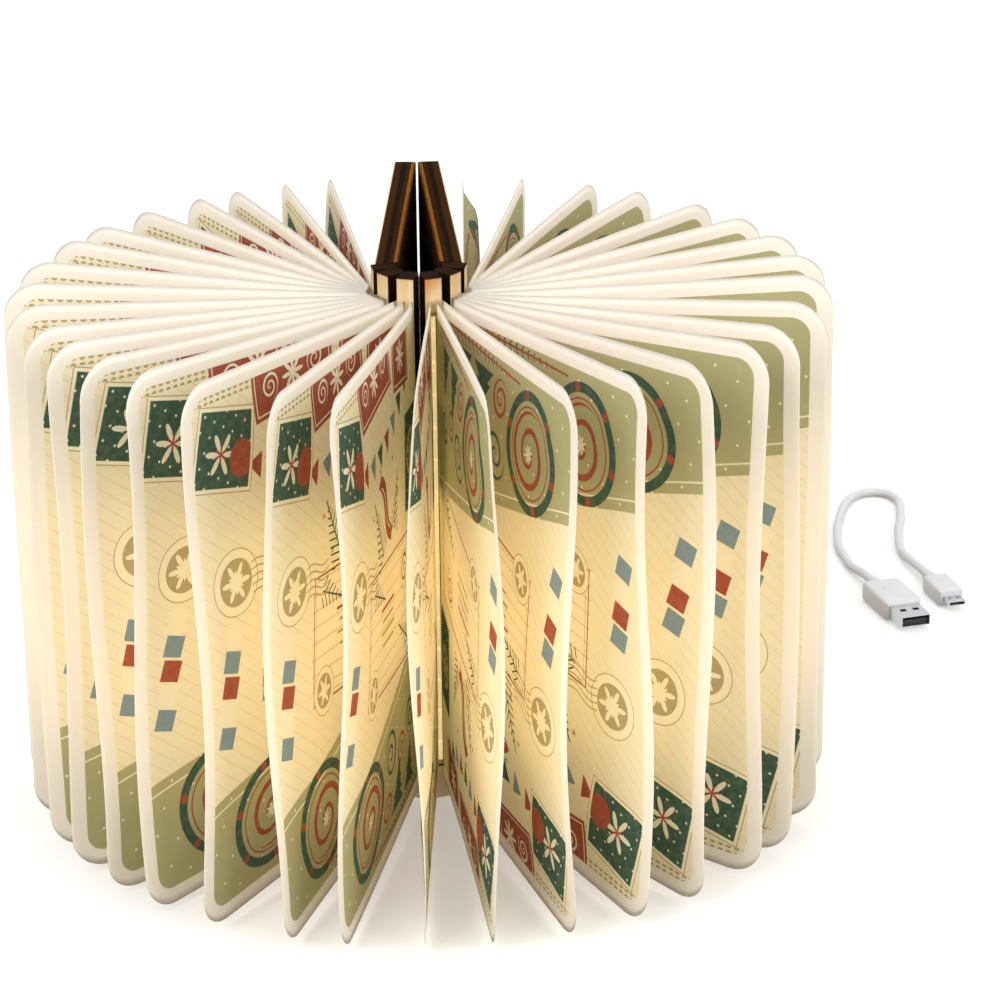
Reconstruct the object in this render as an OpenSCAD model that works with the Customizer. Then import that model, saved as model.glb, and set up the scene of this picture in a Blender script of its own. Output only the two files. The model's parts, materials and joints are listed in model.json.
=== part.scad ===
// Folding book lamp, standing open through a full turn as a drum.
// Two wooden covers and six spine slats carry a fan of paper leaves, each of them
// two sheets glued along their margins, with a light strip in the two centre slats.
//
// Z is up and the lamp stands on Z = 0.  The spine faces -Y, the covers meet on +Y
// and the origin is the middle of the open drum's base.  Sizes are in millimetres.
// Angles go round the origin: 0 faces -Y and 90 faces +X.  Both halves follow one
// construction, drawn on the right and mirrored for the left.

/* [Covers] */
// Height of the covers and of the spine slats
book_height = 191.5; // [180:0.5:215]
// Length of a cover from its hinge to its fore edge
cover_length = 128.5; // [122:0.5:145]
// Thickness of a cover's wooden board
board_thickness = 6; // [5.6:0.1:7]
// Thickness of the skin on a cover's outer side
skin_thickness = 1.6; // [1:0.1:2]
// Thickness of the lining paper on a cover's inner side
lining_thickness = 0.4; // [0.3:0.05:0.5]
// Radius of the skin along the fore edge
skin_edge_radius = 1.4; // [0.4:0.1:1.5]
// Gap between the two covers at their fore edges
cover_parting = 0.6; // [0.4:0.1:4]
// Bevel of a cover's hinged end, in degrees
cover_end_bevel = 17; // [15:0.5:24]
// How far the hinged end of a cover's inner side reaches past the hinge line
cover_end_reach = 0.2; // [0.1:0.05:0.25]

/* [Spine] */
// Distance between two hinge lines of the spine
slat_pitch = 6.5; // [6.3:0.05:7.5]
// Gap between two slats when the spine lies flat
slat_gap = 0.3; // [0.2:0.05:0.5]
// Thickness of a slat
slat_thickness = 8; // [7.4:0.1:8.6]
// Depth of the spine's hinge lines below the slats' inner faces
hinge_depth = 5.2; // [4.9:0.1:5.8]
// Bevel of a slat below its hinge lines, in degrees
slat_bevel = 21; // [20:0.5:25]
// Turn between the two centre slats, in degrees
centre_turn = 37.2; // [34:0.2:38]
// Turn between a centre slat and the middle slat, in degrees
middle_turn = 33.5; // [30:0.5:36]
// Turn between a middle slat and the end slat, in degrees
end_turn = 28.4; // [26:0.2:30]
// Distance of the spine's centre hinge line in front of the origin
spine_forward = 6.4; // [2:0.2:12]
// Distance from the end slat's last hinge place to the cover's hinge line
cover_hinge_out = 0.35; // [0.3:0.05:0.8]
// Depth of a cover's hinge line below the end slat's inner face
cover_hinge_depth = 1.75; // [1.5:0.05:2.1]
// Depth of a cover's hinge line below the cover's inner side
cover_hinge_inset = 0.35; // [0.25:0.05:0.4]

/* [Leaves] */
// How far a leaf stops short of the cover's fore edge
leaf_inset = 3.5; // [2.5:0.5:12]
// How far a leaf's outer edge stops short of the covers' top and bottom
leaf_margin = 1.75; // [1:0.25:8]
// How far the top and bottom of a leaf fall away towards its root
root_fall = 6; // [1:0.5:12]
// Thickness of a leaf
leaf_thickness = 0.25; // [0.15:0.01:0.27]
// Radius of a leaf's outer corners
leaf_corner = 12.5; // [6:0.5:20]
// Height of a leaf's root above the slat or cover that carries it
root_height = 0.35; // [0.3:0.05:0.6]
// Distance of the outermost roots from a slat's edges
root_edge = 0.25; // [0.2:0.05:0.5]
// Distance of an end slat's outermost root from its edge, clear of the cover's own leaf
end_root_edge = 0.7; // [0.6:0.05:1]
// Distance of the inner root on the right centre slat from that slat's middle
inner_root = 1.2; // [0.5:0.1:2.5]
// Distance of a cover's own leaf from the cover's hinge
cover_root = 2; // [1.5:0.1:4]

/* [Lighting] */
// Width of the groove for the light strip in each centre slat
groove_width = 2.4; // [2.2:0.1:2.8]
// Depth of that groove
groove_depth = 1.3; // [1.2:0.05:1.6]
// How far the groove stops short of the slat's top and bottom
groove_margin = 12; // [8:0.5:30]
// How far the light strip stops short of the groove's ends
strip_margin = 2; // [1:0.5:8]
// Width of a light strip
strip_width = 1.8; // [1.4:0.1:2]
// Thickness of a light strip's flexible board
strip_thickness = 0.25; // [0.15:0.05:0.3]
// Number of light chips on a strip
chip_count = 14; // [6:1:24]
// Length of a light chip along the strip
chip_length = 2.8; // [1.6:0.1:3.5]
// Width of a light chip
chip_width = 1.2; // [0.8:0.1:1.4]
// Height of a light chip above its board
chip_height = 0.7; // [0.4:0.05:0.8]

/* [Electronics] */
// Clearance round each piece that lies in a pocket
pocket_clearance = 0.3; // [0.2:0.05:0.4]
// Length of the battery along the cover
battery_length = 50; // [40:1:60]
// Height of the battery
battery_height = 34; // [25:1:45]
// Thickness of the battery
battery_thickness = 4; // [3:0.1:4.3]
// Distance of the battery's middle from the cover's hinge
battery_middle = 58; // [48:1:66]
// Length of the charging board along the cover
pcb_length = 21; // [16:1:24]
// Height of the charging board
pcb_height = 16; // [12:0.5:20]
// Thickness of the charging board
pcb_thickness = 1; // [0.6:0.1:1.2]
// How far the charging board stops short of the fore edge
pcb_inset = 1; // [0.8:0.1:2]
// Length of the charging socket along the cover
socket_length = 5.6; // [5:0.1:6.5]
// Height of the charging socket
socket_height = 7.6; // [7.2:0.1:8]
// Depth of the charging socket, through the cover
socket_depth = 2.7; // [2.5:0.05:2.9]
// Thickness of the charging socket's wall
socket_wall = 0.3; // [0.2:0.05:0.35]
// Length of the magnetic switch
switch_length = 14; // [10:1:20]
// Diameter of the magnetic switch
switch_diameter = 2.2; // [1.8:0.1:2.6]
// Distance of the magnetic switch from the cover's hinge
switch_middle = 8; // [6.5:0.5:12]
// Length of the magnet that works the switch
switch_magnet_length = 10; // [6:1:14]
// Width and depth of the magnet that works the switch
switch_magnet_side = 2; // [1.6:0.1:2.1]
// Clearance round the magnet that works the switch
switch_magnet_clearance = 0.15; // [0.1:0.05:0.2]
// Diameter of a cover magnet
magnet_diameter = 8; // [6:0.5:10]
// Thickness of a cover magnet
magnet_thickness = 2; // [1.5:0.1:3]
// Distance of the cover magnets from the fore edge
magnet_inset = 9; // [7:0.5:14]
// Distance of the cover magnets from the cover's top and bottom
magnet_margin = 18; // [12:1:40]

/* [Charging lead] */
// Diameter of the lead
lead_diameter = 3.6; // [3:0.1:3.6]
// Length of the large plug's body
usb_body_length = 24; // [20:0.5:28]
// Width of the large plug's body
usb_body_width = 15.6; // [14.5:0.1:17]
// Height of the large plug's body
usb_body_height = 8; // [7:0.1:8]
// Length of the large plug's metal shell outside the body
usb_shell_length = 12; // [11:0.1:13]
// Width of the large plug's metal shell
usb_shell_width = 12; // [11.8:0.1:12.2]
// Height of the large plug's metal shell
usb_shell_height = 4.5; // [4.3:0.1:4.7]
// Length of the small plug's body
micro_body_length = 18; // [15:0.5:22]
// Width of the small plug's body
micro_body_width = 10.6; // [9.5:0.1:12]
// Height of the small plug's body
micro_body_height = 7; // [6:0.1:7]
// Length of the small plug's metal shell outside the body
micro_shell_length = 6; // [5:0.1:6.5]
// Width of the small plug's metal shell
micro_shell_width = 6.9; // [6.6:0.1:7]
// Height of the small plug's metal shell
micro_shell_height = 1.9; // [1.8:0.05:2]
// Thickness of both metal shells' walls
shell_wall = 0.35; // [0.2:0.05:0.4]
// How deep the metal shells sit in their bodies
shell_seat = 3; // [1:0.5:6]
// Length of the strain relief behind each plug's body
relief_length = 8; // [5:0.5:10]
// Diameter of the strain relief where it leaves the body
relief_diameter = 5; // [4.2:0.1:6]
// Radius along the edges of the plugs' bodies
plug_edge_radius = 1.5; // [0.5:0.1:2.5]

/* [Hidden] */
LEFT = -1;
RIGHT = 1;

// Angle of each leaf's outer edge, from the cover round to the front
left_leaf_angles = [
    166, 157.5, 150, 141.5, 131.5, 121.5, 112, 101.5, 90,
    79, 69, 59.5, 51.5, 42.5, 32, 21, 11.5
];
right_leaf_angles = [
    173, 162, 151.5, 141, 129.5, 119.5, 107.5, 98,
    87, 73.5, 62.5, 52.5, 41.5, 31, 19.5, 9.5, -1.5
];
// Number of leaves on the cover, the end slat, the middle slat and the centre slat
left_leaf_share = [1, 8, 5, 3];
right_leaf_share = [1, 7, 6, 3];

function leaf_name(half, k) = str("leaf_", half, k < 9 ? "_0" : "_", k + 1);

// Sides of a round piece
round_sides = 48;
// Overshoot of a cut past the face that it opens
cut = 1;

cover_thickness = lining_thickness + board_thickness + skin_thickness;
skin_depth = lining_thickness + board_thickness;
slat_width = slat_pitch - slat_gap;
middle_height = book_height / 2;
leaf_width = cover_length - leaf_inset;
leaf_height = book_height - 2 * leaf_margin;

function unit(vector) = vector / norm(vector);
function total(list, count) = count == 0 ? 0 : list[count - 1] + total(list, count - 1);

// ---- Plan of the right half ----

// Direction that faces an angle, and the direction a quarter turn past it
function facing(angle) = [sin(angle), -cos(angle)];
function onward(angle) = [cos(angle), sin(angle)];

// Slats are numbered from the centre outwards: 0 centre, 1 middle, 2 end
CENTRE = 0;
MIDDLE = 1;
END = 2;
slat_turns = [centre_turn / 2, middle_turn, end_turn];
slat_angles = [for (i = [CENTRE : END]) total(slat_turns, i + 1)];

// Hinge lines at the inner edges of the slats
hinge_lines = [
    for (
        i = CENTRE, line = [0, -spine_forward];
        i <= END;
        line = line + slat_pitch * onward(slat_angles[i]), i = i + 1
    )
        line
];

// Point of slat i, from a place across it and a height above its inner face
function slat_point(i, across, height) = hinge_lines[i]
    + (slat_pitch / 2 + across) * onward(slat_angles[i])
    + (hinge_depth + height) * facing(slat_angles[i]);

// Hinge line of the cover, and the cover's lean from +Y that brings its outer side
// to the other cover's at the fore edge
cover_hinge = slat_point(END, slat_pitch / 2 + cover_hinge_out, -cover_hinge_depth);
cover_behind_hinge = cover_thickness - cover_hinge_inset;
cover_lean = asin((cover_hinge[0] - cover_parting / 2) / norm([cover_length, cover_behind_hinge]))
    - atan(cover_behind_hinge / cover_length);

// Point of the cover, from a length along it and a depth below its inner side
function cover_point(length, depth) = cover_hinge
    + length * [-sin(cover_lean), cos(cover_lean)]
    + (cover_hinge_inset - depth) * [cos(cover_lean), sin(cover_lean)];

// ---- Roots of the leaves ----

// Angle along which a leaf lies, so that its outer edge stands at its own angle
function leaf_direction(root, angle) = angle - asin((root * onward(angle)) / leaf_width);

// Slope of a leaf from the end slat's facing, taken from that slat's middle
function end_slope(angle) = leaf_direction(slat_point(END, 0, 0), angle) - slat_angles[END];

// Distances between neighbouring roots on slat i, as shares of one another.  On the
// end slat a steep leaf stands further off, so that it clears the leaf behind it.
function root_steps(i, angles) = [
    for (k = [1 : len(angles) - 1]) i == END ? 1 / cos(end_slope(angles[k])) : 1
];

// Place of slat i's outermost root across it
function outer_root(i) = slat_width / 2 - (i == END ? end_root_edge : root_edge);

// Place of root k across slat i, counted from the outermost root inwards
function root_across(i, angles, k, span) =
    let (steps = root_steps(i, angles))
    outer_root(i) - span * total(steps, k) / total(steps, len(steps));

// Carrier of leaf k: -1 for the cover, or else the number of its slat
function carrier(share, k, i = 0) = k < total(share, i + 1) ? (i == 0 ? -1 : 3 - i) : carrier(share, k, i + 1);

// Root of leaf k, where the right centre slat's leaves keep to its outer part
function root_point(side, angles, share, k) =
    let (
        slat = carrier(share, k),
        first = total(share, 3 - slat),
        own = slat < 0 ? [] : [for (j = [first : first + share[3 - slat] - 1]) angles[j]],
        inner = side == RIGHT && slat == CENTRE ? inner_root : slat_width / 2 - root_edge,
        span = outer_root(slat) + inner
    )
    slat < 0
        ? cover_point(cover_root, -root_height)
        : slat_point(slat, root_across(slat, own, k - first, span), root_height);

// ---- Placing ----

// Puts a piece drawn for the right half onto either half
module on_half(side) {
    mirror([side == LEFT ? 1 : 0, 0, 0]) children();
}

// X goes across the slat and Y rises from its inner face
module on_slat(side, i) {
    place = slat_point(i, 0, 0);
    on_half(side)
        translate([place[0], place[1], 0])
            rotate([0, 0, slat_angles[i]])
                mirror([0, 1, 0])
                    children();
}

// X goes along the cover from its hinge and Y goes down from its inner side
module on_cover(side) {
    place = cover_point(0, 0);
    on_half(side)
        translate([place[0], place[1], 0])
            rotate([0, 0, 90 + cover_lean])
                children();
}

// A block centred on a height, from its start and its size along X and Y
module block(start, size, height, tall) {
    translate([start[0], start[1], height - tall / 2]) cube([size[0], size[1], tall]);
}

// ---- Spine ----

// Section of a slat: square down to the hinge lines and bevelled below them
module slat_section() {
    half = slat_width / 2;
    foot = half - (slat_thickness - hinge_depth) * tan(slat_bevel);
    polygon([
        [-half, 0],
        [half, 0],
        [half, -hinge_depth],
        [foot, -slat_thickness],
        [-foot, -slat_thickness],
        [-half, -hinge_depth]
    ]);
}

module slat(side, i) {
    on_slat(side, i) linear_extrude(book_height) slat_section();
}

module centre_slat(side) {
    color("#4a2c18") difference() {
        slat(side, CENTRE);
        on_slat(side, CENTRE)
            block(
                [-groove_width / 2, -groove_depth],
                [groove_width, groove_depth + cut],
                middle_height,
                book_height - 2 * groove_margin
            );
    }
}

module middle_slat(side) {
    color("#4a2c18") slat(side, MIDDLE);
}

// The switch's magnet lies in the end slat's side, just below the cover's hinge
module switch_magnet_block(clearance, opening) {
    size = switch_magnet_side + 2 * clearance;
    top = -cover_hinge_depth - pocket_clearance - switch_magnet_clearance;
    block(
        [slat_width / 2 - switch_magnet_side - switch_magnet_clearance - clearance, top - switch_magnet_side - clearance],
        [size + opening, size],
        middle_height,
        switch_magnet_length + 2 * clearance
    );
}

module left_end_slat() {
    color("#4a2c18") difference() {
        slat(LEFT, END);
        on_slat(LEFT, END) switch_magnet_block(switch_magnet_clearance, cut);
    }
}

module right_end_slat() {
    color("#4a2c18") slat(RIGHT, END);
}

module switch_magnet() {
    color("#b9bcc0") on_slat(LEFT, END) switch_magnet_block(0, 0);
}

// A light strip lies on the floor of its groove and carries a row of chips
module light_strip(side) {
    strip_length = book_height - 2 * groove_margin - 2 * strip_margin;
    chip_pitch = strip_length / chip_count;
    color("#fff2c4") on_slat(side, CENTRE) {
        block(
            [-strip_width / 2, -groove_depth],
            [strip_width, strip_thickness],
            middle_height,
            strip_length
        );
        for (k = [0 : chip_count - 1])
            block(
                [-chip_width / 2, -groove_depth + strip_thickness / 2],
                [chip_width, strip_thickness / 2 + chip_height],
                middle_height + (k + 0.5 - chip_count / 2) * chip_pitch,
                chip_length
            );
    }
}

// ---- Covers ----

// Plan of a layer of the cover, with the fore edge's outer corner rounded
module layer_plan(depth, thickness, radius) {
    foot = depth + thickness;
    corner = [cover_length - radius, foot - radius];
    arc_step = 15;
    polygon(concat(
        [[layer_start(depth), depth]],
        [[cover_length, depth]],
        [for (a = [0 : arc_step : 90]) corner + radius * [cos(a), sin(a)]],
        [[layer_start(foot), foot]]
    ));
}

// Bevelled start of the cover at a depth
function layer_start(depth) = depth * tan(cover_end_bevel) - cover_end_reach;

// A pocket round a piece, open to the cover's inner side
module pocket(start, size, height, tall) {
    gap = pocket_clearance;
    block(
        [start[0] - gap, lining_thickness - cut],
        [size[0] + 2 * gap, start[1] - lining_thickness + cut + size[1] + gap],
        height,
        tall + 2 * gap
    );
}

pocket_depth = lining_thickness + pocket_clearance;
battery_start = [battery_middle - battery_length / 2, pocket_depth];
battery_size = [battery_length, battery_thickness];
pcb_start = [cover_length - pcb_inset - pcb_length, pocket_depth];
pcb_size = [pcb_length, pcb_thickness];
socket_start = [cover_length - socket_length, pocket_depth + pcb_thickness];
socket_size = [socket_length, socket_depth];
magnet_heights = [magnet_margin, book_height - magnet_margin];

// A cover magnet, or the hole for one
module cover_magnet(depth, long, clearance) {
    translate([cover_length - magnet_inset, depth, 0])
        rotate([-90, 0, 0])
            cylinder(h = long, d = magnet_diameter + 2 * clearance, $fn = round_sides);
}

module cover_magnets(side) {
    color("#b9bcc0") on_cover(side)
        for (height = magnet_heights)
            translate([0, 0, height]) cover_magnet(pocket_depth, magnet_thickness, 0);
}

module electronics_pockets() {
    gap = pocket_clearance;
    pocket(battery_start, battery_size, middle_height, battery_height);
    pocket(pcb_start, pcb_size + [0, socket_depth], middle_height, pcb_height);
    // Mouth of the socket in the fore edge
    block(
        socket_start - [0, gap],
        socket_size + [cut, 2 * gap],
        middle_height,
        socket_height + 2 * gap
    );
    pocket(
        [switch_middle - switch_diameter / 2, pocket_depth],
        [switch_diameter, switch_diameter],
        middle_height,
        switch_length
    );
}

module cover_board(side) {
    magnet_hole = pocket_depth + magnet_thickness - lining_thickness + cut;
    color("#4a2c18") on_cover(side) difference() {
        linear_extrude(book_height) layer_plan(lining_thickness, board_thickness, 0);
        for (height = magnet_heights)
            translate([0, 0, height])
                cover_magnet(lining_thickness - cut, magnet_hole, pocket_clearance);
        if (side == LEFT) electronics_pockets();
    }
}

module cover_skin(side) {
    color("#24140c") on_cover(side)
        linear_extrude(book_height) layer_plan(skin_depth, skin_thickness, skin_edge_radius);
}

module cover_lining(side) {
    color("#e8dcc0") on_cover(side)
        linear_extrude(book_height) layer_plan(0, lining_thickness, 0);
}

// ---- Electronics in the left cover ----

module battery() {
    color("#8f9aa6") on_cover(LEFT)
        block(battery_start, battery_size, middle_height, battery_height);
}

module charging_board() {
    color("#2c6b3f") on_cover(LEFT)
        block(pcb_start, pcb_size, middle_height, pcb_height);
}

// The socket is a metal shell on the board, open at the fore edge
module charging_socket() {
    wall = socket_wall;
    color("#c4c6c8") on_cover(LEFT) difference() {
        block(socket_start, socket_size, middle_height, socket_height);
        block(
            socket_start + [wall, wall],
            socket_size - [0, 2 * wall],
            middle_height,
            socket_height - 2 * wall
        );
    }
}

module magnetic_switch() {
    color("#a9c7b8") on_cover(LEFT)
        translate([
            switch_middle,
            pocket_depth + switch_diameter / 2,
            middle_height - switch_length / 2
        ])
            cylinder(h = switch_length, d = switch_diameter, $fn = round_sides);
}

// ---- Leaves ----

// Outline of a leaf, with X running out from its root
module leaf_outline() {
    corner_steps = 8;
    slope = atan(root_fall / leaf_width);
    corner = [
        leaf_width - leaf_corner,
        leaf_height - leaf_corner * (1 + sin(slope)) / cos(slope)
    ];
    upper = [
        for (k = [0 : corner_steps])
            let (a = (90 + slope) * k / corner_steps)
            corner + leaf_corner * [cos(a), sin(a)]
    ];
    lower = [
        for (k = [corner_steps : -1 : 0])
            [upper[k][0], leaf_height - upper[k][1]]
    ];
    polygon(concat(
        [[-leaf_thickness / 2, root_fall]],
        lower,
        upper,
        [[-leaf_thickness / 2, leaf_height - root_fall]]
    ));
}

module leaf(side, angles, share, k) {
    root = root_point(side, angles, share, k);
    color("#f3e6c8") on_half(side)
        translate([root[0], root[1], leaf_margin])
            rotate([90, 0, leaf_direction(root, angles[k]) - 90])
                linear_extrude(leaf_thickness, center = true) leaf_outline();
}

// ---- Charging lead, loose on the floor beside the lamp ----

// Route of the lead from the large plug to the small one
lead_points = [
    [179, 174, 4], [177, 181, 4], [175, 189, 2.8], [173, 197, 1.9], [172, 205, 1.8],
    [171, 214, 1.8], [171, 223, 1.8], [172, 232, 1.8], [173, 241, 1.8], [175, 250, 1.8],
    [177, 259, 1.8], [180, 268, 1.8], [184, 275, 1.8], [190, 279, 1.8], [197, 278, 1.8],
    [201, 272, 1.8], [202, 264, 1.8], [201, 255, 1.8], [200, 246, 1.8], [198, 237, 1.8],
    [197, 228, 1.8], [196, 219, 1.8], [196, 210, 1.8], [197, 203, 2.3], [198, 197, 3],
    [200, 189, 3.5], [202, 181, 3.5]
];
lead_sides = 8;
lead_last = len(lead_points) - 1;

function lead_heading(k) =
    unit(lead_points[min(k + 1, lead_last)] - lead_points[max(k - 1, 0)]);

// Ring of points round the lead at route point k
function lead_ring(k) =
    let (
        side = unit(cross(lead_heading(k), [0, 0, 1])),
        upright = cross(side, lead_heading(k))
    )
    [
        for (j = [0 : lead_sides - 1])
            let (a = 360 * j / lead_sides)
            lead_points[k] + lead_diameter / 2 * (cos(a) * side + sin(a) * upright)
    ];

module charging_lead() {
    points = [for (k = [0 : lead_last]) each lead_ring(k)];
    walls = [
        for (k = [0 : lead_last - 1], j = [0 : lead_sides - 1])
            let (next = (j + 1) % lead_sides, ring = k * lead_sides)
            [ring + j, ring + next, ring + lead_sides + next, ring + lead_sides + j]
    ];
    near_end = [for (j = [lead_sides - 1 : -1 : 0]) j];
    far_end = [for (j = [0 : lead_sides - 1]) lead_last * lead_sides + j];
    color("#f2f1ee") polyhedron(points, concat([near_end], walls, [far_end]));
}

// Puts a plug at an end of the lead, with X running out from the lead
module on_lead_end(end, before) {
    out = end - before;
    translate(end) rotate([0, 0, atan2(out[1], out[0])]) children();
}
module on_large_end() { on_lead_end(lead_points[0], lead_points[1]) children(); }
module on_small_end() { on_lead_end(lead_points[lead_last], lead_points[lead_last - 1]) children(); }

// A plug's body with rounded long edges, its strain relief and the shell's seat
module plug_body(body, shell) {
    start = relief_length;
    color("#f2f1ee") difference() {
        union() {
            rotate([0, 90, 0])
                cylinder(h = start, d1 = lead_diameter, d2 = relief_diameter, $fn = round_sides);
            translate([start, 0, 0]) rotate([90, 0, 90])
                linear_extrude(body[0]) rounded_section(body[1], body[2]);
        }
        translate([start + body[0] - shell_seat, -shell[1] / 2, -shell[2] / 2])
            cube([shell_seat + cut, shell[1], shell[2]]);
    }
}

module rounded_section(width, height) {
    radius = plug_edge_radius;
    across = [-width / 2 + radius, width / 2 - radius];
    up = [-height / 2 + radius, height / 2 - radius];
    square([width - 2 * radius, height], center = true);
    square([width, height - 2 * radius], center = true);
    for (x = across, y = up)
        translate([x, y]) circle(r = radius, $fn = round_sides);
}

// A plug's metal shell, hollow and open at its end
module plug_shell(body, shell) {
    long = shell_seat + shell[0];
    translate([relief_length + body[0] - shell_seat, 0, 0]) difference() {
        translate([0, -shell[1] / 2, -shell[2] / 2])
            cube([long, shell[1], shell[2]]);
        translate([shell_wall, -shell[1] / 2 + shell_wall, -shell[2] / 2 + shell_wall])
            cube([long, shell[1] - 2 * shell_wall, shell[2] - 2 * shell_wall]);
    }
}

usb_body = [usb_body_length, usb_body_width, usb_body_height];
usb_shell = [usb_shell_length, usb_shell_width, usb_shell_height];
micro_body = [micro_body_length, micro_body_width, micro_body_height];
micro_shell = [micro_shell_length, micro_shell_width, micro_shell_height];

module usb_plug_body() {
    on_large_end() plug_body(usb_body, usb_shell);
}
module usb_plug_shell() {
    color("#c4c6c8") on_large_end() plug_shell(usb_body, usb_shell);
}
module micro_plug_body() {
    on_small_end() plug_body(micro_body, micro_shell);
}
module micro_plug_shell() {
    color("#c4c6c8") on_small_end() plug_shell(micro_body, micro_shell);
}

// ---- Nodes ----

left_end_slat();  // slat_1
middle_slat(LEFT);  // slat_2
centre_slat(LEFT);  // slat_3
centre_slat(RIGHT);  // slat_4
middle_slat(RIGHT);  // slat_5
right_end_slat();  // slat_6
cover_board(LEFT);  // cover_board_left
cover_board(RIGHT);  // cover_board_right
cover_skin(LEFT);  // cover_skin_left
cover_skin(RIGHT);  // cover_skin_right
cover_lining(LEFT);  // cover_lining_left
cover_lining(RIGHT);  // cover_lining_right
cover_magnets(LEFT);  // cover_magnets_left
cover_magnets(RIGHT);  // cover_magnets_right
light_strip(LEFT);  // light_strip_left
light_strip(RIGHT);  // light_strip_right
battery();
charging_board();
charging_socket();
magnetic_switch();
switch_magnet();
charging_lead();
usb_plug_body();
usb_plug_shell();
micro_plug_body();
micro_plug_shell();
for (k = [0 : len(left_leaf_angles) - 1])
    leaf(LEFT, left_leaf_angles, left_leaf_share, k);
for (k = [0 : len(right_leaf_angles) - 1])
    leaf(RIGHT, right_leaf_angles, right_leaf_share, k);
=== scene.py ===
# %% [markdown]
# A folding book lamp stands open as a drum of paper leaves round a wooden spine.
# The imported model is the fixed frame: every piece below takes its place from it.

# %% Load the frame
import json
from itertools import accumulate
from math import atan2, cos, pi, radians, sin

import bmesh
import bpy
from mathutils import Matrix, Vector

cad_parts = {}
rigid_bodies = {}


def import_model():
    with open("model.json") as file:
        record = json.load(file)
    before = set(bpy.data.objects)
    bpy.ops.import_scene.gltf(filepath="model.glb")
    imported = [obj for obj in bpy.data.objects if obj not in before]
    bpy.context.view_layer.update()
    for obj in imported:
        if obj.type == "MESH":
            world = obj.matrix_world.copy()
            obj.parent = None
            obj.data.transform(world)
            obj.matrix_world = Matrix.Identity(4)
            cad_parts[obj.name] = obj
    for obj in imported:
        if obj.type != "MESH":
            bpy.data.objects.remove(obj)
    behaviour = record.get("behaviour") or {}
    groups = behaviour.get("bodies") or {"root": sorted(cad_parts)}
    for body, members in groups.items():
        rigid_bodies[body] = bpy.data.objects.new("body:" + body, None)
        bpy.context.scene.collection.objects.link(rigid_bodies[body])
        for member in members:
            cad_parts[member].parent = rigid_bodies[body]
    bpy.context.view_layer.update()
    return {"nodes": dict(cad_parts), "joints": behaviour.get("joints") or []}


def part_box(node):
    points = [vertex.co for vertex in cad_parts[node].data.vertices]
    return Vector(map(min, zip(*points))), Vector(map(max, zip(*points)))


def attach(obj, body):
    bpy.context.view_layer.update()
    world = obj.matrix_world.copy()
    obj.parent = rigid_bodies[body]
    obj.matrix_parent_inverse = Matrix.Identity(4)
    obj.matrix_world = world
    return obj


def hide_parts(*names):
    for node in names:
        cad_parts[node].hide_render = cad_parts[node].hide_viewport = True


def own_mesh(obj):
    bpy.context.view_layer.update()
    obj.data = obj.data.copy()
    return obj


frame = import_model()
MM = 0.001
_, spine_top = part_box("slat_3")
book_height = spine_top.z
print(f"nodes {len(frame['nodes'])}, height {book_height / MM:.1f} mm")

# %% [markdown]
# The camera looks down on the drum from the front with a long lens.  Its place is
# worked out from an aim point, a distance and two angles, so that it can be read as
# a photographer would set it, and a small lens shift frames the lead as well.

# %% Camera
aim = Vector((0, 5, 95.65)) * MM
distance = 1256.7 * MM
elevation = 0.3715
camera_roll = 0.0187
back = Vector((0, -cos(elevation), sin(elevation)))
camera_data = bpy.data.cameras.new("camera")
camera_data.lens = 130.0
camera_data.sensor_width = 36.0
camera_data.shift_x = 0.0768
camera_data.shift_y = 0.0284
camera = bpy.data.objects.new("camera", camera_data)
bpy.context.scene.collection.objects.link(camera)
look = back.to_track_quat("Z", "Y").to_matrix()
rolled = look @ Matrix.Rotation(-camera_roll, 3, "Z")
camera.matrix_world = Matrix.Translation(aim + back * distance) @ rolled.to_4x4()
bpy.context.scene.camera = camera
print("camera stands at", [round(c, 3) for c in camera.matrix_world.translation])

# %% [markdown]
# Materials and node-built shapes both need arithmetic on sockets.  A small class wraps
# a socket and overloads Python's operators, so a formula reads as a formula while it
# adds the Math nodes.  One function adds any other node from its type, its settings
# and its inputs.

# %% Sockets that take part in arithmetic


def node(tree, kind, settings, inputs, output=0):
    """Add a node, set its settings first and then its inputs by place or name."""
    made = tree.nodes.new(kind)
    for name, value in settings.items():
        setattr(made, name, value)
    pairs = inputs.items() if isinstance(inputs, dict) else enumerate(inputs)
    for key, value in pairs:
        if isinstance(value, Value):
            tree.links.new(value.socket, made.inputs[key])
        else:
            made.inputs[key].default_value = value
    return Value(tree, made.outputs[output])


def forward(operation):
    """Operator with the wrapped socket on its left."""
    def apply(self, other):
        return self.math(operation, other)
    return apply


def reflected(operation):
    """Operator with the wrapped socket on its right."""
    def apply(self, other):
        return node(self.tree, "ShaderNodeMath", {"operation": operation}, [other, self])
    return apply


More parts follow.
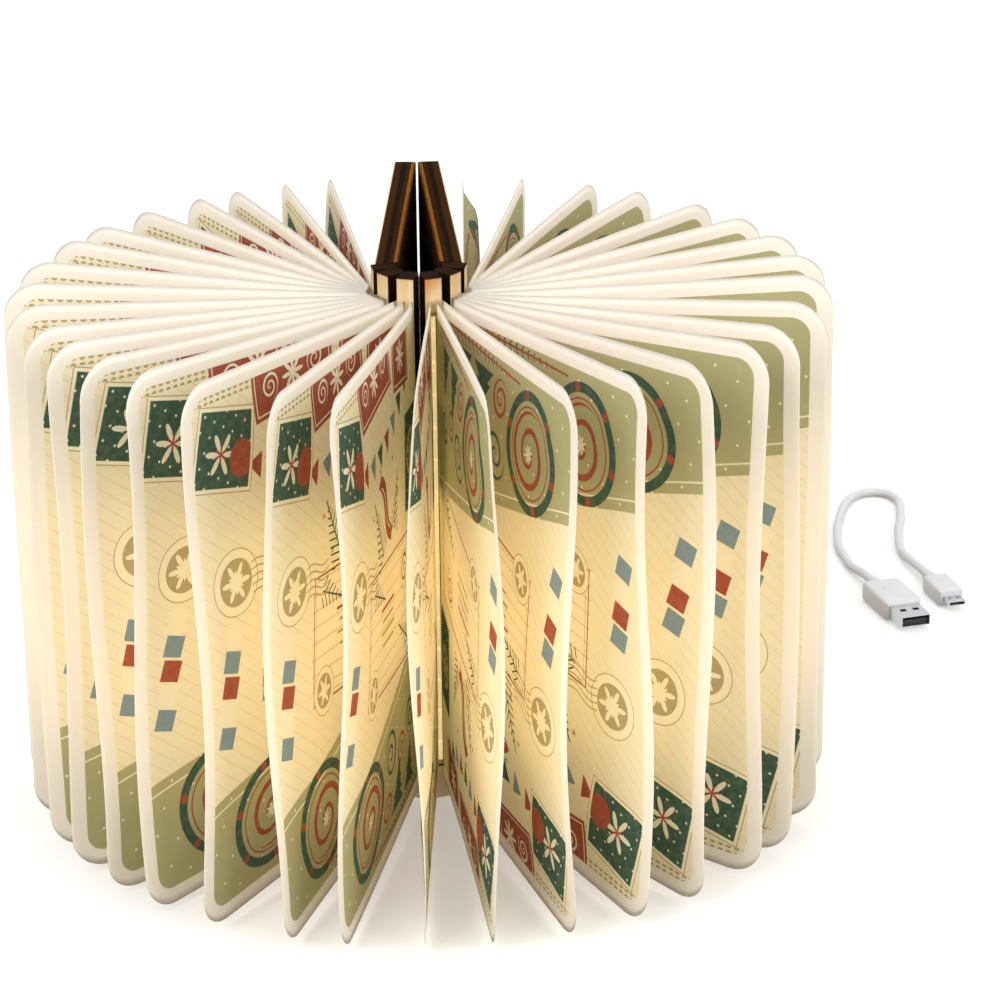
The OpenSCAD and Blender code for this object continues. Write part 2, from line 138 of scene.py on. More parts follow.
class Value:
    """A number socket of a shader or geometry tree."""

    def __init__(self, tree, socket):
        self.tree = tree
        self.socket = socket

    def math(self, operation, *others):
        return node(self.tree, "ShaderNodeMath", {"operation": operation}, [self, *others])

    __add__ = forward("ADD")
    __radd__ = reflected("ADD")
    __sub__ = forward("SUBTRACT")
    __rsub__ = reflected("SUBTRACT")
    __mul__ = forward("MULTIPLY")
    __rmul__ = reflected("MULTIPLY")
    __truediv__ = forward("DIVIDE")

    def least(self, other):
        return self.math("MINIMUM", other)

    def most(self, other):
        return self.math("MAXIMUM", other)

    def sine(self):
        return self.math("SINE")

    def cosine(self):
        return self.math("COSINE")

    def size(self):
        return self.math("ABSOLUTE")

    def fraction(self):
        return self.math("FRACT")

    def clamped(self):
        settings = {"operation": "ADD", "use_clamp": True}
        return node(self.tree, "ShaderNodeMath", settings, [self, 0.0])

    def ease(self, start, end):
        """0 at start and 1 at end, with a smooth passage."""
        settings = {"interpolation_type": "SMOOTHSTEP"}
        inputs = {"Value": self, "From Min": start, "From Max": end}
        return node(self.tree, "ShaderNodeMapRange", settings, inputs)


def axes(vector):
    """The three numbers of a vector socket."""
    made = node(vector.tree, "ShaderNodeSeparateXYZ", {}, [vector])
    return [Value(vector.tree, output) for output in made.socket.node.outputs]


def paint(code):
    """Linear colour of a six-figure colour code."""
    parts = [int(code[k:k + 2], 16) / 255 for k in (0, 2, 4)]
    linear = [c / 12.92 if c <= 0.04045 else ((c + 0.055) / 1.055) ** 2.4 for c in parts]
    return (*linear, 1.0)


def blended(factor, low, high):
    """Mix of two colours."""
    inputs = {0: factor, 6: low, 7: high}
    return node(factor.tree, "ShaderNodeMix", {"data_type": "RGBA"}, inputs, 2)


def material(name, **constants):
    """A material with a Principled shader whose named inputs are constants."""
    made = bpy.data.materials.new(name)
    made.use_nodes = True
    shader = made.node_tree.nodes["Principled BSDF"]
    for key, value in constants.items():
        shader.inputs[key.replace("_", " ")].default_value = value
    return made, made.node_tree, shader


def feed(value, shader, name):
    """Let a socket drive an input of the shader."""
    value.tree.links.new(value.socket, shader.inputs[name])


def bump(height, strength, depth):
    """Normal of a bumpy surface, with its depth in metres."""
    inputs = {"Strength": strength, "Distance": depth, "Height": height}
    return node(height.tree, "ShaderNodeBump", {}, inputs)


# %% [markdown]
# The charging lead is a short soft cord that lies on the table.  It is a curve through
# the same points as the solid that it stands for, with a round section, and its ends
# run straight into the two plugs.

# %% Charging lead
lead_points = [
    (179, 174, 4), (177, 181, 4), (175, 189, 2.8), (173, 197, 1.9), (172, 205, 1.8),
    (171, 214, 1.8), (171, 223, 1.8), (172, 232, 1.8), (173, 241, 1.8), (175, 250, 1.8),
    (177, 259, 1.8), (180, 268, 1.8), (184, 275, 1.8), (190, 279, 1.8), (197, 278, 1.8),
    (201, 272, 1.8), (202, 264, 1.8), (201, 255, 1.8), (200, 246, 1.8), (198, 237, 1.8),
    (197, 228, 1.8), (196, 219, 1.8), (196, 210, 1.8), (197, 203, 2.3), (198, 197, 3),
    (200, 189, 3.5), (202, 181, 3.5)
]
lead_diameter = 3.6 * MM
lead_curve = bpy.data.curves.new("charging_lead_cord", "CURVE")
lead_curve.dimensions = "3D"
lead_curve.bevel_depth = lead_diameter / 2
lead_curve.bevel_resolution = 4
lead_curve.resolution_u = 6
spline = lead_curve.splines.new("BEZIER")
spline.bezier_points.add(len(lead_points) - 1)
for place, point in zip(lead_points, spline.bezier_points):
    point.co = Vector(place) * MM
    point.handle_left_type = "AUTO"
    point.handle_right_type = "AUTO"
lead = bpy.data.objects.new("charging_lead_cord", lead_curve)
bpy.context.scene.collection.objects.link(lead)
bpy.context.view_layer.update()

soft_white, _, _ = material("soft_white_plastic", Base_Color=paint("F0F1F4"), Roughness=0.42)
lead_curve.materials.append(soft_white)

# %% [markdown]
# Each plug is a soft moulded body, a ringed strain relief and a folded metal shell with
# its latch windows.  The outlines are boxes with rounded edges, and what stands on
# them is placed along the plug's own axis, which the lead's last two points give.

# %% Helpers for plug parts


def joined(name, shapes, finish):
    """One object from several bmesh shapes, with one finish."""
    mesh = bpy.data.meshes.new(name)
    whole = bmesh.new()
    for shape in shapes:
        part = bpy.data.meshes.new("part")
        shape.to_mesh(part)
        whole.from_mesh(part)
        shape.free()
        bpy.data.meshes.remove(part)
    bmesh.ops.recalc_face_normals(whole, faces=whole.faces)
    whole.to_mesh(mesh)
    whole.free()
    mesh.materials.append(finish)
    made = bpy.data.objects.new(name, mesh)
    bpy.context.scene.collection.objects.link(made)
    return made


def rounded_block(low, high, radius, segments=4):
    """A box between two corners with rounded edges."""
    shape = bmesh.new()
    bmesh.ops.create_cube(shape, size=1.0)
    low = Vector(low)
    high = Vector(high)
    for vertex in shape.verts:
        vertex.co = [low[k] + (vertex.co[k] + 0.5) * (high[k] - low[k]) for k in range(3)]
    if radius > 0:
        bmesh.ops.bevel(
            shape, geom=shape.edges[:], offset=radius, segments=segments,
            profile=0.5, affect="EDGES", clamp_overlap=True,
        )
    return shape


def turned(profile, sides=32):
    """A round shape along X from (place, radius) pairs, closed at both ends."""
    shape = bmesh.new()
    rings = [
        [
            shape.verts.new((x, radius * cos(2 * pi * j / sides), radius * sin(2 * pi * j / sides)))
            for j in range(sides)
        ]
        for x, radius in profile
    ]
    for near, far in zip(rings, rings[1:]):
        for j in range(sides):
            shape.faces.new((near[j], near[(j + 1) % sides], far[(j + 1) % sides], far[j]))
    shape.faces.new(rings[0][::-1])
    shape.faces.new(rings[-1])
    return shape


def lead_end(end, before):
    """Matrix that puts a plug drawn along +X at an end of the lead."""
    out = Vector(end) - Vector(before)
    return Matrix.Translation(Vector(end) * MM) @ Matrix.Rotation(atan2(out.y, out.x), 4, "Z")


def shaded(made, angle=40):
    """Smooth shading with edges kept where faces meet sharply."""
    chosen = {"object": made, "active_object": made, "selected_editable_objects": [made]}
    with bpy.context.temp_override(**chosen):
        bpy.ops.object.shade_smooth_by_angle(angle=radians(angle))


# %% [markdown]
# The metal of both shells is bright nickel, a little rough, and its inside is dark.

# %% Plug materials
nickel, nickel_tree, nickel_shader = material("nickel", Base_Color=paint("C9CACC"), Metallic=1.0)
speck = node(nickel_tree, "ShaderNodeTexNoise", {}, {"Scale": 900.0, "Detail": 2.0})
feed(0.24 + speck * 0.12, nickel_shader, "Roughness")
dark_inside, _, _ = material("dark_inside", Base_Color=paint("2B2C2E"), Roughness=0.6)

# %% Plugs


def folded_shell(name, start, length, width, height, wall, windows):
    """A metal shell as four walls, with latch windows cut in its top."""
    w = width / 2
    h = height / 2
    shapes = [
        rounded_block((start, -w, -h), (start + length, w, -h + wall), wall * 0.3, 2),
        rounded_block((start, -w, -h + wall), (start + length, -w + wall, h - wall), 0, 1),
        rounded_block((start, w - wall, -h + wall), (start + length, w, h - wall), 0, 1),
    ]
    # The top is laid as strips round its windows
    edge = start
    for near, far, inner, outer in windows:
        shapes.append(rounded_block((edge, -w, h - wall), (near, w, h), 0, 1))
        shapes.append(rounded_block((near, -inner, h - wall), (far, inner, h), 0, 1))
        shapes.append(rounded_block((near, -w, h - wall), (far, -outer, h), 0, 1))
        shapes.append(rounded_block((near, outer, h - wall), (far, w, h), 0, 1))
        edge = far
    shapes.append(rounded_block((edge, -w, h - wall), (start + length, w, h), 0, 1))
    return joined(name, shapes, nickel)


def make_plug(end, before, body, shell, windows, relief, names):
    """Body, shell and tongue of a plug, put at an end of the lead."""
    length, width, height = (value * MM for value in body)
    shell_length, shell_width, shell_height = (value * MM for value in shell)
    relief_length, relief_radius = (value * MM for value in relief)
    seat = 3 * MM
    wall = 0.35 * MM
    place = lead_end(end, before)
    rib = relief_length / 4
    sleeve = [(0, lead_diameter / 2 + 0.15 * MM)]
    for k in range(4):
        swell = relief_radius * (0.86 + 0.14 * k / 3)
        for share, radius in ((0.15, swell), (0.75, swell), (0.9, swell * 0.88)):
            sleeve.append(((k + share) * rib, radius))
    sleeve.append((relief_length + 1 * MM, relief_radius))
    edge_radius = 1.5 * MM
    outer = relief_length + length
    soft = joined(
        names[0],
        [
            turned(sleeve),
            rounded_block(
                (relief_length, -width / 2, -height / 2), (outer - 0.5 * MM, width / 2, height / 2),
                edge_radius, 5,
            ),
            rounded_block(
                (outer - 3 * MM, -width / 2 + 0.7 * MM, -height / 2 + 0.7 * MM),
                (outer, width / 2 - 0.7 * MM, height / 2 - 0.7 * MM), 0.3 * MM, 3,
            ),
            rounded_block(
                (relief_length + length * 0.34, -width * 0.17, height / 2 - 0.3 * MM),
                (relief_length + length * 0.68, width * 0.17, height / 2 + 0.12 * MM), 0.1 * MM, 2,
            ),
        ],
        soft_white,
    )
    openings = [
        (outer + near * MM, outer + far * MM, inner_edge * MM, outer_edge * MM)
        for near, far, inner_edge, outer_edge in windows
    ]
    metal = folded_shell(
        names[1], outer - seat, seat + shell_length, shell_width, shell_height, wall, openings,
    )
    half_tongue = shell_width / 2 - wall - 0.1 * MM
    tongue = joined(
        names[2],
        [rounded_block(
            (outer - seat + 0.2 * MM, -half_tongue, -shell_height / 2 + wall + 0.05 * MM),
            (outer + shell_length - 1.2 * MM, half_tongue, shell_height * 0.06), 0.1 * MM, 2,
        )],
        dark_inside,
    )
    for made in (soft, metal, tongue):
        made.data.transform(place)
        shaded(made)
        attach(made, "slat_3")
    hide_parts(names[3])
    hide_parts(names[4])
    return soft, metal, tongue


large_plug = make_plug(
    lead_points[0], lead_points[1], (24, 15.6, 8), (12, 12, 4.5),
    [(4.2, 6.6, 1.4, 3.9)], (8, 2.9),
    ("large_plug_body", "large_plug_metal", "large_plug_tongue",
     "usb_plug_body", "usb_plug_shell"),
)
small_plug = make_plug(
    lead_points[-1], lead_points[-2], (18, 10.6, 7), (6, 6.9, 1.9),
    [(1.8, 2.8, 1.0, 2.2)], (8, 2.6),
    ("small_plug_body", "small_plug_metal", "small_plug_tongue",
     "micro_plug_body", "micro_plug_shell"),
)
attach(lead, "slat_3")
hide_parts("charging_lead")

# %% [markdown]
# A leaf is two paper sheets glued along three edges, so it is a flat pocket that swells
# a little between its margins.  Every leaf follows one rule, so one node tree makes
# them all: a grid bent to the leaf's outline, once for each sheet, with a gentle wave.
# The tree also keeps each point's place on the flat sheet, for the print.

# %% The leaf's node tree
leaf_margin = 1.75 * MM
leaf_sizes = {
    "Height": book_height - 2 * leaf_margin,
    "Root fall": 6 * MM,
    "Corner": 12.5 * MM,
    "Margin": 5.6 * MM,
    "Thickness": 0.3 * MM,
    "Bulge": 2.1 * MM,
    "Bulge start": 38 * MM,
    "Bulge rise": 30 * MM,
    "Bulge lean": 0.0,
    "Lit": 1.0,
    "Wave": 2.0 * MM,
}


def leaf_tree():
    """Node tree that makes one leaf from its sizes, its root and its turn."""
    tree = bpy.data.node_groups.new("paper_leaf", "GeometryNodeTree")
    faces = tree.interface
    faces.new_socket("Geometry", in_out="OUTPUT", socket_type="NodeSocketGeometry")
    for name in ["Width", *leaf_sizes, "Phase", "Turn"]:
        faces.new_socket(name, in_out="INPUT", socket_type="NodeSocketFloat")
    faces.new_socket("Root", in_out="INPUT", socket_type="NodeSocketVector")
    faces.new_socket("Paper", in_out="INPUT", socket_type="NodeSocketMaterial")
    entry = tree.nodes.new("NodeGroupInput")
    given = {output.name: Value(tree, output) for output in entry.outputs if output.name}
    width = given["Width"]
    height = given["Height"]
    corner = given["Corner"]

    # The last columns of the grid run round the corner's arc
    columns = 57
    rows = 61
    corner_share = 0.14
    grid = node(tree, "GeometryNodeMeshGrid", {}, {
        "Size X": 1.0, "Size Y": 1.0, "Vertices X": columns, "Vertices Y": rows,
    })
    across, up, _ = axes(node(tree, "GeometryNodeInputPosition", {}, []))
    along = across + 0.5
    rise = up * 2
    arc = ((along - (1 - corner_share)) / corner_share).clamped() * (pi / 2)
    x = (along / (1 - corner_share)).least(1.0) * (width - corner) + corner * arc.sine()
    slope_x = x.least(width - corner)
    fall = (width - slope_x) * given["Root fall"] / width
    half_height = height / 2 - fall - corner * (1 - arc.cosine())
    z = rise * half_height

    # Distance to the glued outline, and how far the sheet stands off the middle
    edge = (width - x).least(half_height - z.size())
    inner = edge.ease(given["Margin"], given["Margin"] + given["Bulge rise"])
    swell = 1 - ((x * -1) / given["Bulge start"]).math("EXPONENT")
    rim = (edge.least(x) / (0.4 * MM)).clamped()
    puff = given["Bulge"] * swell * inner
    off = rim * given["Thickness"] / 2 + puff
    reach = x / width
    wave = given["Wave"] * reach * reach * (z / height * (2 * pi) + given["Phase"]).sine()

    def sheet(side, geometry):
        y = off * side + puff * given["Bulge lean"] + wave
        place = node(tree, "ShaderNodeCombineXYZ", {}, [x, y, z + height / 2 + leaf_margin])
        flat = node(tree, "ShaderNodeCombineXYZ", {}, [x / MM, (z + height / 2) / MM, side * 1.0])
        # Kept before the points move, because both read the grid's own places
        kept = node(tree, "GeometryNodeStoreNamedAttribute", {"data_type": "FLOAT_VECTOR"}, {
            "Geometry": geometry, "Name": "print_place", "Value": flat,
        })
        return node(tree, "GeometryNodeSetPosition", {}, {"Geometry": kept, "Position": place})

    flipped = node(tree, "GeometryNodeFlipFaces", {}, {"Mesh": grid})
    both = tree.nodes.new("GeometryNodeJoinGeometry")
    for part in (sheet(-1, grid), sheet(1, flipped)):
        tree.links.new(part.socket, both.inputs[0])
    closed = node(tree, "GeometryNodeMergeByDistance", {}, {
        "Geometry": Value(tree, both.outputs[0]), "Distance": 0.00001,
    })
    turn = node(tree, "ShaderNodeCombineXYZ", {}, [0.0, 0.0, given["Turn"]])
    placed = node(tree, "GeometryNodeTransform", {}, {
        "Geometry": closed, "Translation": given["Root"], "Rotation": turn,
    })
    smooth = node(tree, "GeometryNodeSetShadeSmooth", {}, {"Geometry": placed})
    real = node(tree, "GeometryNodeRealizeInstances", {}, {"Geometry": smooth})
    # Each leaf keeps its share of the paper's painted glow
    shown = node(tree, "GeometryNodeStoreNamedAttribute", {}, {
        "Geometry": real, "Name": "lit", "Value": given["Lit"],
    })
    finished = node(tree, "GeometryNodeSetMaterial", {}, {
        "Geometry": shown, "Material": given["Paper"],
    })
    leave = tree.nodes.new("NodeGroupOutput")
    tree.links.new(finished.socket, leave.inputs[0])
    return tree


def grown(name, tree, inputs):
    """Plain mesh object from a node tree and the values of its named inputs."""
    seed = bpy.data.objects.new("seed", bpy.data.meshes.new("seed"))
    bpy.context.scene.collection.objects.link(seed)
    modifier = seed.modifiers.new("nodes", "NODES")
    modifier.node_group = tree
    sockets = {s.name: s.identifier for s in tree.interface.items_tree if s.in_out == "INPUT"}
    for key, value in inputs.items():
        modifier[sockets[key]] = value
    bpy.context.view_layer.update()
    ready = seed.evaluated_get(bpy.context.evaluated_depsgraph_get())
    mesh = bpy.data.meshes.new_from_object(ready)
    bpy.data.objects.remove(seed)
    mesh.name = name
    made = bpy.data.objects.new(name, mesh)
    bpy.context.scene.collection.objects.link(made)
    return made


# %% [markdown]
# The print covers each sheet inside a cream margin.  It is drawn in the shader from the
# point's place on the flat sheet: shapes are distances, and a distance turns into a
# mask with a soft edge.  The back of a leaf carries the same print turned upside down,
# as on a folded strip.

# %% Shapes for a print


class Sheet:
    """A place on the printed sheet in millimetres, with shapes as masks."""

    def __init__(self, place):
        self.place = place
        self.x, self.z, _ = axes(place)

    def turned(self, centre, degrees, unit=1):
        """The sheet seen from a centre and turned, measured in a unit."""
        inputs = {
            "Vector": self.place, "Location": (*centre, 0),
            "Rotation": (0, 0, radians(degrees)), "Scale": (unit, unit, 1),
        }
        return Sheet(node(self.place.tree, "ShaderNodeMapping", {"vector_type": "TEXTURE"}, inputs))

    def distance(self, centre=(0, 0)):
        inputs = [self.place, (*centre, 0)]
        return node(self.place.tree, "ShaderNodeVectorMath", {"operation": "DISTANCE"}, inputs, 1)

    def disc(self, centre, radius):
        return mask(self.distance(centre) - radius)

    def ring(self, centre, radius, line):
        return mask((self.distance(centre) - radius).size() - line / 2)

    def box(self, centre, half_width, half_height, degrees=0):
        own = self.turned(centre, degrees)
        return mask((own.x.size() - half_width).most(own.z.size() - half_height))

    def frame(self, centre, half_width, half_height, line, degrees=0):
        own = self.turned(centre, degrees)
        edge = (own.x.size() - half_width).most(own.z.size() - half_height)
        return mask(edge.size() - line / 2)

    def lines(self, pitch, line, degrees=0):
        own = self.turned((0, 0), degrees, pitch)
        return mask((own.z.fraction() - 0.5).size() - line / 2 / pitch, 0.25 / pitch)

    def star(self, centre, radius, points, depth, degrees=0):
        """A rosette whose rim goes in and out a number of times."""
        own = self.turned(centre, degrees)
        angle = own.z.math("ARCTAN2", own.x)
        rim = radius * (1 - depth + depth * (angle * points).cosine())
        return mask(own.distance() - rim)

    def dots(self, pitch, radius, degrees=0):
        """A field of dots set in turned rows."""
        own = self.turned((0, 0), degrees, pitch)
        cell = node(self.place.tree, "ShaderNodeVectorMath", {"operation": "FRACTION"}, [own.place])
        return mask(Sheet(cell).distance((0.5, 0.5)) - radius / pitch, 0.25 / pitch)

    def scroll(self, centre, radius, pitch, line, degrees=0, turn=1):
        """A curl that winds inwards, as a line that swells towards its rim."""
        own = self.turned(centre, degrees)
        r = own.distance()
        wound = (r / pitch - own.z.math("ARCTAN2", own.x) * (turn / (2 * pi))).fraction()
        swelling = line * (0.4 + r * 0.6 / radius)
        return mask(((wound - 0.5).size() * pitch - swelling / 2).most(r - radius))

    def ribbon(self, centre, half_width, half_height, sag, degrees=0):
        """A band that waves once along its length."""
        own = self.turned(centre, degrees)
        lift = (own.x * (pi / half_width)).sine() * sag
        return mask((own.x.size() - half_width).most((own.z - lift).size() - half_height))

    def sprig(self, centre, length, spread, pairs, degrees=0):
        """A twig with slanted needles that shorten towards its tip."""
        own = self.turned(centre, degrees)
        share = (own.x / length).clamped()
        ends = (own.x * -1).most(own.x - length)
        slant = (own.x - own.z.size() * 0.8) * (pairs / length)
        needle = (slant.fraction() - 0.5).size() * (length / pairs) - 0.4
        held = needle.most(own.z.size() - (1 - share) * spread)
        twig = own.z.size() - 0.35
        return mask(held.least(twig).most(ends))

    def fir(self, centre, height, width, tiers):
        """A fir tree of stacked tiers, standing on its centre."""
        own = self.turned(centre, 0)
        step = ((own.z / height).clamped() * tiers).fraction()
        spread = (1 - (own.z / height).clamped()) * (width / 2) * (1.25 - step * 0.55)
        inside = (own.x.size() - spread).most(own.z * -1).most(own.z - height)
        return mask(inside)


def mask(distance, blur=0.25):
    """1 inside a shape and 0 outside it, from the distance to its edge."""
    inputs = {
        "Value": distance, "From Min": -blur / 2, "From Max": blur / 2,
        "To Min": 1.0, "To Max": 0.0,
    }
    return node(distance.tree, "ShaderNodeMapRange", {}, inputs)


# %% [markdown]
# The paper glows, because light strips in the spine shine through its pockets.  Here that glow is
# painted light: a varying emission colour on the paper stands in for the light that passes through
# it.  It is strongest at mid-height, dimming towards the ends, and weaker close to the spine, where
# the leaves light each other, and the outer glued margins keep the plain paper's colour.

# %% Printed paper
leaf_height_mm = leaf_sizes["Height"] / MM
leaf_width_mm = 125.0
margin_mm = leaf_sizes["Margin"] / MM
corner_mm = leaf_sizes["Corner"] / MM
fall_mm = leaf_sizes["Root fall"] / MM

inks = {
    "ground": paint("F6ECCD"),
    "sage": paint("B2AF82"),
    "green": paint("3B5A4B"),
    "red": paint("A4503E"),
    "blue": paint("7F96A0"),
    "margin": paint("FBF4E8"),
    "snow": paint("F1ECD4"),
    "brown": paint("B5A67C"),
    "card": paint("FBF0D2"),
    "rule": paint("E3CFA0"),
}


def on_ring(centre, half_width, half_height, degrees):
    """A point on an ellipse round a centre."""
    angle = radians(degrees)
    return (centre[0] + half_width * cos(angle), centre[1] + half_height * sin(angle))


def printed(sheet):
    """Colour of the print, laid down ink by ink."""
    colour = blended(sheet.lines(4.2, 0.2, 38), inks["ground"], inks["rule"])

    def lay(ink, where):
        """Print one ink over what is there."""
        nonlocal colour
        colour = blended(where, colour, inks[ink])

    # A sage field fills the lower end under a slanted edge, with firs, curls and snow
    field = mask(sheet.turned((60, 58), -13).z)
    lay("sage", field)
    lay("snow", mask((sheet.turned((60, 54), -13).z).size() - 0.3))
    lay("snow", field * sheet.dots(9.5, 0.5, 24))
    roundel = (88, 31)
    roundel_radius = 18.5
    lay("green", field * sheet.ring(roundel, roundel_radius, 3.4))
    lay("red", field * sheet.ring(roundel, 14.9, 0.6))
    lay("red", field * sheet.scroll(roundel, 13.6, 6.6, 2.6, 40))
    lay("snow", field * sheet.star(roundel, 3.2, 8, 0.25, 22))
    for k in range(6):
        lay("red", sheet.disc(on_ring(roundel, roundel_radius, roundel_radius, 60 * k + 15), 1.6))
    for x, z, size, ink, degrees, turn in (
        (57, 41, 9.0, "green", 200, -1), (40, 36, 6.4, "red", 20, 1),
        (60, 22, 6.8, "red", 90, 1), (24, 42, 6.6, "green", 130, -1),
    ):
        lay(ink, field * sheet.scroll((x, z), size, size * 0.52, 1.7, degrees, turn))
    lay("green", field * sheet.fir((43, 16), 19, 15, 4))
    lay("green", field * sheet.fir((24, 16), 17, 12, 3))
    lay("green", field * sheet.sprig((10, 11.5), 66, 4.4, 17))
    lay("red", field * sheet.box((43, 11.5), 34, 0.4))

    # A ruled card lies askew at mid-height, with needles at its corners
    card_centre = (52, 90)
    card_tilt = 6
    card = sheet.box(card_centre, 40, 23, card_tilt)
    lay("card", card)
    lay("brown", card * sheet.lines(5.4, 0.3, card_tilt))
    lay("red", sheet.frame(card_centre, 38.6, 21.6, 0.6, card_tilt))
    lay("brown", sheet.frame(card_centre, 37.0, 20.0, 0.3, card_tilt))
    lay("green", sheet.sprig((24, 70), 22, 6, 6, 35))
    lay("green", sheet.sprig((82, 109), 20, 6, 6, 205))
    emblem = (30, 98)
    lay("card", sheet.star(emblem, 7.4, 12, 0.14))
    lay("brown", sheet.ring(emblem, 6.6, 0.4))
    lay("red", sheet.scroll(emblem, 5.6, 3.0, 1.2, 60))
    for k in range(4):
        line = sheet.box((60, 97.5 - 4.2 * k), 11 - 2 * (k % 2), 0.55, card_tilt)
        lay("red" if k == 0 else "brown", line)

    # Two round seals overlap the card's outer end
    for place, size in (((103, 117), 11.5), ((84, 75), 8.5)):
        lay("card", sheet.disc(place, size))
        lay("brown", sheet.ring(place, size - 0.3, 0.4))
        lay("brown", sheet.disc(place, size * 0.7))
        lay("card", sheet.star(place, size * 0.6, 6, 0.5))
        lay("card", sheet.star(place, size * 0.34, 6, 0.5, 30))
    for k in range(5):
        lay("brown", sheet.ribbon((86, 120 - 2.6 * k), 9, 0.28, 1.0, 8))

    # Slanted bars run up beside the outer margin
    for k in range(5):
        ink = ("blue", "card", "red")[k % 3]
        lay(ink, sheet.box((112 - 1.4 * k, 66 + 8.4 * k), 3.9, 3.7, 18))

    # A waving ribbon between two sprigs leads up from the card
    lay("green", sheet.sprig((66, 116), 26, 9, 8, 62))
    lay("green", sheet.sprig((47, 119), 20, 7, 7, 118))
    for ink, half_width, half_height, sag in (
        ("snow", 15, 3.4, 2.2), ("red", 14.5, 2.9, 2.2), ("snow", 11, 0.35, 1.6),
    ):
        lay(ink, sheet.ribbon((60, 131), half_width, half_height, sag, 55))
    for k in range(6):
        star = sheet.star(on_ring((60, 132), 21, 15, 60 * k + 10), 1.3, 5, 0.45, 20 * k)
        lay("green" if k % 2 else "red", star)

    # A garland of pennants hangs across the upper part
    for k in range(7):
        ink = ("red", "green", "blue")[k % 3]
        hook = (20 + 11.5 * k, 160 - 1.6 * k + 0.5 * (k - 3) ** 2)
        own = sheet.turned(hook, 8 - 4 * k)
        lay(ink, mask((own.x.size() * 1.9 - own.z - 8).most(own.z)))

    # A dark stamp with a snow crystal and red panels stand under a beaded top edge
    stamp = (104, 162)
    stamp_tilt = 14
    lay("brown", sheet.box(stamp, 15, 14, stamp_tilt))
    lay("card", sheet.box(stamp, 14.6, 13.6, stamp_tilt))
    inside = sheet.box(stamp, 13.4, 12.4, stamp_tilt)
    lay("green", inside)
    lay("snow", inside * sheet.dots(5.2, 0.45, 33))
    crystal = (106, 161)
    lay("snow", sheet.star(crystal, 7.4, 6, 0.5, 14))
    lay("red", sheet.star(crystal, 2.8, 6, 0.4, 44))
    lay("red", inside * sheet.disc((96, 157), 6.2))
    for centre, half_width, half_height, tilt in (((64, 176), 23, 10, -3), ((25, 171), 12, 10, 7)):
        lay("red", sheet.box(centre, half_width, half_height, tilt))
        lay("snow", sheet.frame(centre, half_width - 1.6, half_height - 1.6, 0.5, tilt))
        lay("snow", sheet.star(centre, half_height * 0.6, 8, 0.36, tilt))
    lay("snow", sheet.scroll((77, 175), 4.6, 2.4, 1.0, 30))
    lay("snow", sheet.scroll((51, 177), 4.6, 2.4, 1.0, 150, -1))
    strip = sheet.turned((104, 180), 2.8)
    lay("brown", strip.box((0, 0), 17, 1.4) * strip.dots(3.2, 1.2))

    # A dark panel with a wreath stands at the spine
    panel = (13, 132)
    wreath = (13, 134)
    lay("green", sheet.box(panel, 11, 17, 4))
    lay("sage", sheet.disc(wreath, 8.2))
    lay("green", sheet.star(wreath, 6.8, 9, 0.22))
    lay("sage", sheet.disc(wreath, 3.6))
    lay("snow", sheet.box(panel, 9.8, 15.8, 4) * sheet.dots(4.4, 0.3, 20))

    return colour


def outline_depth(x, z):
    """Distance inwards from the leaf's glued outline, round its corners too."""
    half = leaf_height_mm / 2 - (leaf_width_mm - x) * (fall_mm / leaf_width_mm)
    past_x = x - (leaf_width_mm - corner_mm)
    past_z = (z - leaf_height_mm / 2).size() - (half - corner_mm)
    out_x = past_x.most(0.0)
    out_z = past_z.most(0.0)
    return corner_mm - (out_x * out_x + out_z * out_z).math("SQRT") - past_x.most(past_z).least(0.0)


paper, paper_tree, paper_shader = material("printed_paper", Roughness=0.82, Specular_IOR_Level=0.25)
place = node(paper_tree, "ShaderNodeAttribute", {"attribute_name": "print_place"}, [], 1)
flat_x, flat_z, side = axes(place)
back_side = (0.5 - side * 0.5).ease(0.4, 0.6)
lit = node(paper_tree, "ShaderNodeAttribute", {"attribute_name": "lit"}, [], 2)
print_z = flat_z + back_side * (leaf_height_mm - flat_z * 2)
print_place = node(paper_tree, "ShaderNodeCombineXYZ", {}, [flat_x, print_z])
depth = outline_depth(flat_x, flat_z)
inner_print = mask(margin_mm - depth, 0.3)
ink_colour = printed(Sheet(print_place))
fibre = node(paper_tree, "ShaderNodeTexNoise", {}, {
    "Vector": node(paper_tree, "ShaderNodeTexCoord", {}, [], 3), "Scale": 420.0, "Detail": 3.0,
})
outer_margin = (1 - inner_print) * flat_x.ease(85.0, 118.0)
paper_colour = blended(inner_print, inks["margin"], ink_colour)
paper_colour = blended(outer_margin, paper_colour, paint("FDF6E9"))
toned = blended(fibre.ease(0.35, 0.75) * 0.08, paper_colour, paint("D9C08E"))
feed(toned, paper_shader, "Base Color")
feed(bump(fibre, 0.25, 0.0001), paper_shader, "Normal")

# Painted light and shade: this emission stands in for the light through the pockets, dimmer towards
# the leaf's ends and near the spine, and yellower near the spine
height_share = (flat_z / leaf_height_mm - 0.46).size()
from_spine = flat_x.ease(0.0, 45.0)
glow = (1 - height_share.ease(0.05, 0.62) * 0.62) * (0.38 + from_spine * 0.3) * lit
warm = blended(from_spine, paint("FFEDAE"), paint("FFF0D2"))
warm = blended(outer_margin, warm, paint("FFF7E6"))
multiply = {"data_type": "RGBA", "blend_type": "MULTIPLY"}
tinted = node(paper_tree, "ShaderNodeMix", multiply, {0: 1.0, 6: toned, 7: warm}, 2)
grey = node(paper_tree, "ShaderNodeCombineColor", {}, [glow, glow, glow])
shine = node(paper_tree, "ShaderNodeMix", multiply, {0: 1.0, 6: tinted, 7: grey}, 2)
feed(shine, paper_shader, "Emission Color")
paper_shader.inputs["Emission Strength"].default_value = 0.365
# The glow is faint, so it lights its neighbours by bounced rays alone
paper.cycles.emission_sampling = "NONE"
print("paper has", len(paper_tree.nodes), "nodes")
